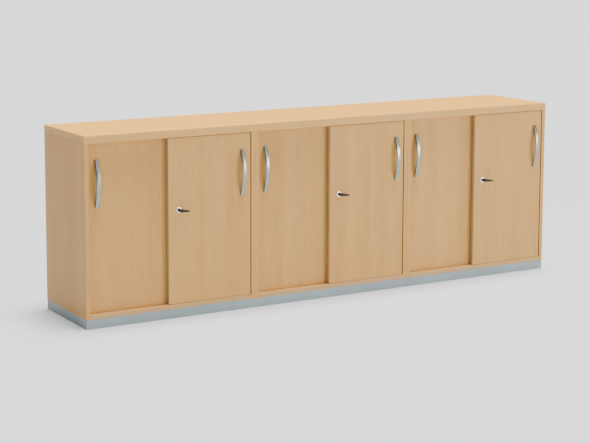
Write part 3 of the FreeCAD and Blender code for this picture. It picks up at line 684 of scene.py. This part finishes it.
@dataclass
class BowHandle:
    """A bow handle, widest in the middle: two arcs between flat feet, with a crowned outer face."""

    door: str
    end_width: float = 16 * MM
    band: float = 5 * MM
    foot: float = 10 * MM
    end: float = 5 * MM
    crown: float = 4.2 * MM
    crown_segments: int = 8
    steps: int = 40
    outward_share: float = 0.5
    rim_angle: float = math.radians(60)

    def __post_init__(self) -> None:
        """Read the place of the CAD node."""
        self.low, self.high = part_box(f"{self.door}_handle")
        self.middle = (self.low + self.high) / 2

    def arc(self, mesh: BMesh, start: Vector, rise: float) -> list[BMEdge]:
        """Spin a point into an arc that bows out from the door.

        Args:
            mesh: The bmesh to add to.
            start: The arc's lower end.
            rise: How far the arc stands out from the line between its ends.

        Returns:
            The arc's edges.
        """
        half = self.middle.z - start.z
        radius = (half * half + rise * rise) / (2 * rise)
        centre = Vector((start.x, start.y - rise + radius, self.middle.z))
        turn = -2 * math.asin(half / radius)
        first = mesh.verts.new(start)
        before = set(mesh.edges)
        bmesh.ops.spin(
            mesh, geom=[first], cent=centre, axis=(1, 0, 0), angle=turn, steps=self.steps, use_merge=False
        )
        return [edge for edge in mesh.edges if edge not in before]

    def flank(self, mesh: BMesh) -> None:
        """Fill the handle's left flank: the band between the arcs, and the feet.

        Args:
            mesh: The bmesh to add to.
        """
        face = self.high.y
        reach = face - self.low.y
        outer = self.arc(mesh, Vector((self.low.x, face - self.end, self.low.z)), reach - self.end)
        inner = self.arc(mesh, Vector((self.low.x, face, self.low.z + self.foot)), reach - self.band)
        bmesh.ops.bridge_loops(mesh, edges=outer + inner)
        for level, toe in ((self.low.z, self.low.z + self.foot), (self.high.z, self.high.z - self.foot)):
            heel = mesh.verts.new((self.low.x, face, level))
            ends = [Vector((self.low.x, face - self.end, level)), Vector((self.low.x, face, toe))]
            near = [min(mesh.verts, key=lambda vert: (vert.co - point).length) for point in ends]
            bmesh.ops.contextual_create(mesh, geom=[heel] + near)

    def outer_rim(self, mesh: BMesh) -> list[BMEdge]:
        """The two long edges of the outer face, before the taper.

        Args:
            mesh: The handle's solid.

        Returns:
            Their pieces.
        """
        rim = []
        for edge in mesh.edges:
            lengthwise = abs(edge.verts[0].co.x - edge.verts[1].co.x) < MERGE_DISTANCE
            outward = any(face.normal.y < -self.outward_share for face in edge.link_faces)
            if lengthwise and outward and edge.calc_face_angle(0.0) > self.rim_angle:
                rim.append(edge)
        return rim

    def taper(self, mesh: BMesh) -> None:
        """Narrow the handle towards its ends.

        Args:
            mesh: The handle's solid.
        """
        full = (self.high.x - self.low.x) / 2
        half_height = (self.high.z - self.low.z) / 2
        for vert in mesh.verts:
            share = (vert.co.z - self.middle.z) / half_height
            half = full - (full - self.end_width / 2) * share * share
            vert.co.x = self.middle.x + math.copysign(half, vert.co.x - self.middle.x)

    def build(self) -> bpy.types.Object:
        """Build the handle in the place of its CAD node.

        Returns:
            The handle.
        """
        mesh = bmesh.new()
        self.flank(mesh)
        thickened(mesh, Vector((self.high.x - self.low.x, 0, 0)))
        rim = self.outer_rim(mesh)
        self.taper(mesh)
        eased(mesh, rim, self.crown, self.crown_segments)
        piece = finished(f"{self.door}_bow", mesh, self.door)
        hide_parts(f"{self.door}_handle")
        return piece


@dataclass
class PushLock:
    """The turned rosette and barrel of a push lock."""

    bay: str
    rosette: Lathe = Lathe(
        (
            (7.8, 0.3), (8.1, 0.0), (10.4, 0.0), (11.6, 0.2), (12.5, 0.7), (13.0, 1.4), (13.0, 2.0),
            (10.0, 2.0), (10.0, 20.0), (4.3, 20.0), (4.3, 18.0), (8.8, 18.0), (8.8, 3.5), (7.8, 3.5),
        ),
        ring=True,
    )
    barrel: Lathe = Lathe(
        (
            (0.0, 15.1), (5.8, 15.1), (5.8, 0.3), (6.1, 0.0), (6.8, 0.0), (7.3, 0.25), (7.5, 0.8),
            (7.5, 9.8), (8.5, 9.8), (8.5, 18.7), (4.0, 18.7), (4.0, 25.6), (3.6, 26.0), (0.0, 26.0),
        )
    )

    def build(self) -> list[bpy.types.Object]:
        """Build both pieces in the places of their CAD nodes.

        Returns:
            The rosette and the barrel.
        """
        carriers = {"housing": f"{self.bay}_front_door", "barrel": f"{self.bay}_barrel"}
        shapes = {"housing": self.rosette, "barrel": self.barrel}
        pieces = []
        for part, body in carriers.items():
            node = f"{self.bay}_lock_{part}"
            low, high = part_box(node)
            mesh = bmesh.new()
            place = Vector(((low.x + high.x) / 2, low.y, (low.z + high.z) / 2))
            shapes[part].turn(mesh, place, Vector((0.0, 1.0, 0.0)))
            close_up(mesh)
            piece = finished(f"{self.bay}_turned_{part}", mesh, body)
            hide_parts(node)
            pieces.append(piece)
        return pieces


@dataclass
class FoldingKey:
    """The plastic bow of a key, with a sunk grip on both faces and the pin that it folds on."""

    bay: str
    length: float = 40.9 * MM
    root_width: float = 16 * MM
    tip_width: float = 7 * MM
    thickness: float = 4 * MM
    root: float = 2.3 * MM
    slot_height: float = 6.6 * MM
    slot_depth: float = 2.6 * MM
    pin_radius: float = 1 * MM
    pin_inset: float = 1 * MM
    grip_rim: float = 1.4 * MM
    grip_depth: float = 0.5 * MM
    edge: float = 0.8 * MM
    edge_segments: int = 3
    tip_steps: int = 14
    pin_segments: int = 16
    side_facing: float = 0.99
    fold: float = math.radians(-45)
    plastic_slot: ClassVar[int] = 0
    steel_slot: ClassVar[int] = 1

    def hinge(self) -> Vector:
        """The middle of the key's hinge."""
        joint = next(joint for joint in frame["joints"] if joint["name"] == f"{self.bay}_key_fold")
        return Vector(joint["pos_m"])

    def outline(self, mesh: BMesh) -> None:
        """Fill the bow's outline in the plane of its length and height.

        Args:
            mesh: The bmesh to add to.
        """
        tip = self.length - self.tip_width / 2
        slot = self.slot_height / 2
        corners = [(self.slot_depth, slot), (-self.root, slot), (-self.root, self.root_width / 2)]
        corners.append((tip, self.tip_width / 2))
        below = [mesh.verts.new((x, 0, -z)) for x, z in corners]
        above = [mesh.verts.new((x, 0, z)) for x, z in reversed(corners[:-1])]
        spun = bmesh.ops.spin(
            mesh, geom=[below[-1]], cent=(tip, 0, 0), axis=(0, -1, 0), angle=math.pi, steps=self.tip_steps,
            use_merge=False,
        )
        last = next(item for item in spun["geom_last"] if isinstance(item, BMVert))
        for chain in (below, [last] + above + [below[0]]):
            for pair in zip(chain, chain[1:]):
                mesh.edges.new(pair)
        bmesh.ops.contextual_create(mesh, geom=list(mesh.edges))

    def build(self) -> bpy.types.Object:
        """Build the bow in the place of its CAD node.

        Returns:
            The bow.
        """
        mesh = bmesh.new()
        self.outline(mesh)
        bmesh.ops.translate(mesh, vec=(0, -self.thickness / 2, 0), verts=list(mesh.verts))
        thickened(mesh, Vector((0, self.thickness, 0)))
        sides = [face for face in mesh.faces if abs(face.normal.y) > self.side_facing]
        eased(mesh, list({edge for face in sides for edge in face.edges}), self.edge, self.edge_segments)
        for side in (-1, 1):
            flat = [face for face in mesh.faces if face.normal.y * side > self.side_facing]
            bmesh.ops.inset_region(
                mesh, faces=flat, thickness=self.grip_rim, depth=-self.grip_depth, use_even_offset=True
            )
        moulded = set(mesh.faces)
        bmesh.ops.create_cone(
            mesh, cap_ends=True, segments=self.pin_segments, radius1=self.pin_radius, radius2=self.pin_radius,
            depth=self.root_width - 2 * self.pin_inset,
        )
        for face in mesh.faces:
            face.material_index = self.plastic_slot if face in moulded else self.steel_slot
        turn = Matrix.Translation(self.hinge()) @ Matrix.Rotation(self.fold, 4, "Z")
        bmesh.ops.transform(mesh, matrix=turn, verts=list(mesh.verts))
        piece = finished(f"{self.bay}_key_grip", mesh, f"{self.bay}_bow")
        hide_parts(f"{self.bay}_key_bow")
        return piece


@dataclass
class CamCaps:
    """Domed plastic caps over the cams inside a bay."""

    bay: str
    cap: Lathe = Lathe(((0.0, 1.2), (4.7, 1.1), (7.3, 0.75), (8.5, 0.3), (8.5, 0.0), (0.0, 0.0)), steps=24)
    rows: tuple[float, float] = (-132.5 * MM, 132.5 * MM)
    height: float = 740 * MM

    def build(self) -> bpy.types.Object:
        """Build all the caps of a bay as one piece.

        Returns:
            The caps.
        """
        low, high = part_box(f"{self.bay}_bay_bottom")
        mesh = bmesh.new()
        for x, way in ((low.x, 1.0), (high.x, -1.0)):
            for y in self.rows:
                self.cap.turn(mesh, Vector((x, y, self.height)), Vector((way, 0.0, 0.0)))
        close_up(mesh)
        return finished(f"{self.bay}_cam_caps", mesh, "cabinet")


@dataclass
class ShadeTape:
    """Thin dark tape on the inner faces of a bay's sides, a strip for each door to close against, painted
    shade for the gaps beside the doors.
    """

    bay: str
    thickness: float = 0.6 * MM
    inset: float = 1 * MM
    edge: float = 0.4 * MM
    edge_segments: int = 3

    def strip(self, mesh: BMesh, x: float, way: float, door: str) -> None:
        """Add a strip.

        Args:
            mesh: The bmesh to add to.
            x: Where the side's inner face stands.
            way: The direction that the face looks in, 1 or -1.
            door: The door that closes against the strip.
        """
        low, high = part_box(door)
        front = low.y - self.inset
        centre = Vector((x + way * self.thickness / 2, (front + high.y) / 2, (low.z + high.z) / 2))
        size = Vector((self.thickness, high.y - front, high.z - low.z - 2 * self.inset))
        matrix = Matrix.Translation(centre) @ Matrix.Diagonal((*size, 1.0))
        bmesh.ops.create_cube(mesh, size=1.0, matrix=matrix)

    def build(self) -> bpy.types.Object:
        """Build both strips as one piece.

        Returns:
            The strips.
        """
        low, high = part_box(f"{self.bay}_bay_bottom")
        mesh = bmesh.new()
        self.strip(mesh, low.x, 1.0, f"{self.bay}_rear_door")
        self.strip(mesh, high.x, -1.0, f"{self.bay}_front_door")
        middle = self.thickness / 2
        stuck = {vert for vert in mesh.verts if min(vert.co.x - low.x, high.x - vert.co.x) < middle}
        free = [edge for edge in mesh.edges if stuck.isdisjoint(edge.verts)]
        eased(mesh, free, self.edge, self.edge_segments)
        return finished(f"{self.bay}_door_tape", mesh, "cabinet")


@dataclass
class Carcass:
    """The boards and fittings that stand still."""

    paint: Paintbox

    def dress(self) -> None:
        """Put finishes on the fixed CAD nodes and build the cam caps and the dark tapes of painted shade
        beside the doors.
        """
        nodes = frame["nodes"]
        boards = {
            # The top board's warmer copy of the beech is painted light for its brightly lit top face
            "top_board": LitTopBeech(Grain.ALONG, Face.LEVEL),
            "shelves": BeechDecor(Grain.ALONG, Face.LEVEL),
            "back_panels": BeechDecor(Grain.UPRIGHT, Face.FRONT),
        }
        for bay in BAY_NAMES:
            boards[f"{bay}_bay_left_side"] = BeechDecor(Grain.UPRIGHT, Face.END)
            boards[f"{bay}_bay_right_side"] = BeechDecor(Grain.UPRIGHT, Face.END)
            boards[f"{bay}_bay_bottom"] = BeechDecor(Grain.ALONG, Face.LEVEL)
        for node, decor in boards.items():
            put_on(nodes[node], self.paint.board(node, decor))
        fittings = {
            "plinth_frame": Finish.PLINTH,
            "shelf_pins": Finish.ZINC,
            "cam_connectors": Finish.ZINC,
            "ganging_bolts": Finish.ZINC,
            "lower_tracks": Finish.TRACK,
            "upper_tracks": Finish.TRACK,
        }
        for node, finish in fittings.items():
            put_on(nodes[node], self.paint.fitting(finish))
        for bay in BAY_NAMES:
            put_on(CamCaps(bay).build(), self.paint.fitting(Finish.TRACK))
            # Dark strips of painted shade on the inner faces of the sides, in the gaps beside the doors
            put_on(ShadeTape(bay).build(), self.paint.fitting(Finish.FOAM))
        log.info("dressed %d fixed nodes", len(boards) + len(fittings))


@dataclass
class Bay:
    """The two sliding doors of one bay, with their handles, lock and key."""

    name: str
    paint: Paintbox

    def dress(self) -> None:
        """Put finishes on the bay's moving CAD nodes and build its handles, lock and key."""
        for kind in ("rear", "front"):
            self.dress_door(f"{self.name}_{kind}_door")
        fittings = {
            "lock_strike": Finish.GLIDE,
            "lock_plug": Finish.PLUG,
            "key_blade": Finish.KEY_STEEL,
        }
        for part, finish in fittings.items():
            put_on(frame["nodes"][f"{self.name}_{part}"], self.paint.fitting(finish))
        rosette, barrel = PushLock(self.name).build()
        put_on(rosette, self.paint.fitting(Finish.CHROME))
        put_on(barrel, self.paint.fitting(Finish.BARREL))
        grip = FoldingKey(self.name).build()
        put_on(grip, self.paint.fitting(Finish.KEY_PLASTIC), self.paint.fitting(Finish.KEY_STEEL))
        log.info("dressed the %s bay", self.name)

    def dress_door(self, door: str) -> None:
        """Put finishes on one door and build its handle.

        Args:
            door: The door's node.
        """
        nodes = frame["nodes"]
        put_on(nodes[door], self.paint.board(door, DoorBeech()))
        put_on(nodes[f"{door}_runners"], self.paint.fitting(Finish.GLIDE))
        put_on(nodes[f"{door}_handle_screws"], self.paint.fitting(Finish.ZINC))
        put_on(BowHandle(door).build(), self.paint.fitting(Finish.HANDLE))


class LightKind(Enum):
    """The lamps of the studio."""

    PANEL = "AREA"
    SKY = "SUN"


@dataclass
class SoftLight:
    """One soft studio light that points at the cabinet."""

    kind: ClassVar[LightKind]
    place: Triple
    aim: Triple
    power: float

    def hang(self) -> bpy.types.Light:
        """Hang the light.

        Returns:
            Its data, for the rest of its settings.
        """
        name = self.kind.name.lower()
        data = bpy.data.lights.new(name, self.kind.value)
        data.energy = self.power
        lamp = bpy.data.objects.new(name, data)
        lamp.location = self.place
        way = Vector(self.aim) - Vector(self.place)
        lamp.rotation_euler = way.to_track_quat("-Z", "Y").to_euler()
        lamp.visible_camera = False
        bpy.context.scene.collection.objects.link(lamp)
        return data


@dataclass
class PanelLight(SoftLight):
    """A panel that stands in front."""

    kind = LightKind.PANEL
    width: float
    height: float

    def build(self) -> None:
        """Hang the panel."""
        data = self.hang()
        data.shape = "RECTANGLE"
        data.size, data.size_y = self.width, self.height


@dataclass
class SkyLight(SoftLight):
    """A wide soft light from above, even over the whole floor."""

    kind = LightKind.SKY
    angle: float = math.radians(26)

    def build(self) -> None:
        """Hang the sky."""
        self.hang().angle = self.angle


@dataclass
class Studio:
    """The floor, lights and camera of the photograph."""

    camera_place: Triple = (-3.7683, -6.1643, 1.6887)
    yaw: float = math.radians(29.624)
    pitch: float = math.radians(7.663)
    lens: float = 97.69
    shift: tuple[float, float] = (0.0620, -0.15)
    sensor: float = 36.0
    sight: float = 200.0
    floor_size: float = 120.0
    floor_pale: Colour = srgb(170, 170, 170)
    floor_deep: Colour = srgb(167, 167, 167)
    floor_cloud_scale: float = 0.8
    floor_roughness: float = 0.8
    world_colour: Colour = (0.75, 0.97, 1.3, 1.0)
    world_strength: float = 0.15

    def build(self) -> None:
        """Build the whole studio."""
        self.lay_floor()
        self.light_world()
        self.hang_lights()
        self.set_camera()

    def lay_floor(self) -> None:
        """Lay a plain pale floor."""
        mesh = bmesh.new()
        bmesh.ops.create_grid(mesh, x_segments=1, y_segments=1, size=self.floor_size / 2)
        data = bpy.data.meshes.new("floor")
        mesh.to_mesh(data)
        mesh.free()
        floor = bpy.data.objects.new("floor", data)
        bpy.context.scene.collection.objects.link(floor)
        shader = Shader("floor")
        clouds = shader.noise(shader.place, self.floor_cloud_scale)
        grey = shader.mix(clouds, self.floor_pale, self.floor_deep)
        put_on(floor, shader.set({"Base Color": grey, "Roughness": self.floor_roughness}))

    def hang_lights(self) -> None:
        """Hang the sky, a far panel for the handles' highlights, a dim wide one over it and a near one."""
        SkyLight(place=(0.5, 0.0, 5.0), aim=(0.0, 0.0, 0.0), power=14.2).build()
        PanelLight(place=(6.27, -10.2, 1.4), aim=(0.0, 0.0, 0.6), power=390.0, width=3.2, height=2.5).build()
        PanelLight(place=(1.5, -8.5, 5.6), aim=(0.0, 0.0, 0.6), power=305.0, width=13.0, height=6.0).build()
        PanelLight(place=(2.9, -3.0, 1.2), aim=(0.7, 0.0, 0.6), power=32.0, width=2.4, height=0.4).build()

    def light_world(self) -> None:
        """Light the scene evenly and a little coolly from all round."""
        world = bpy.data.worlds.new("studio")
        bpy.context.scene.world = world
        world.use_nodes = True
        backdrop = next(node for node in world.node_tree.nodes if node.type == "BACKGROUND")
        backdrop.inputs["Color"].default_value = self.world_colour
        backdrop.inputs["Strength"].default_value = self.world_strength

    def set_camera(self) -> None:
        """Set the camera up as in the photograph."""
        data = bpy.data.cameras.new("camera")
        data.lens = self.lens
        data.sensor_width = self.sensor
        data.shift_x, data.shift_y = self.shift
        data.clip_end = self.sight
        camera = bpy.data.objects.new("camera", data)
        camera.location = self.camera_place
        camera.rotation_euler = (math.pi / 2 - self.pitch, 0.0, -self.yaw)
        bpy.context.scene.collection.objects.link(camera)
        bpy.context.scene.camera = camera


def main() -> None:
    """Dress the cabinet and set up the studio."""
    logging.basicConfig(level=logging.INFO, format="%(message)s")
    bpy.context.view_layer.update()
    paint = Paintbox()
    Carcass(paint).dress()
    for name in BAY_NAMES:
        Bay(name, paint).dress()
    Studio().build()


if __name__ == "__main__":
    main()
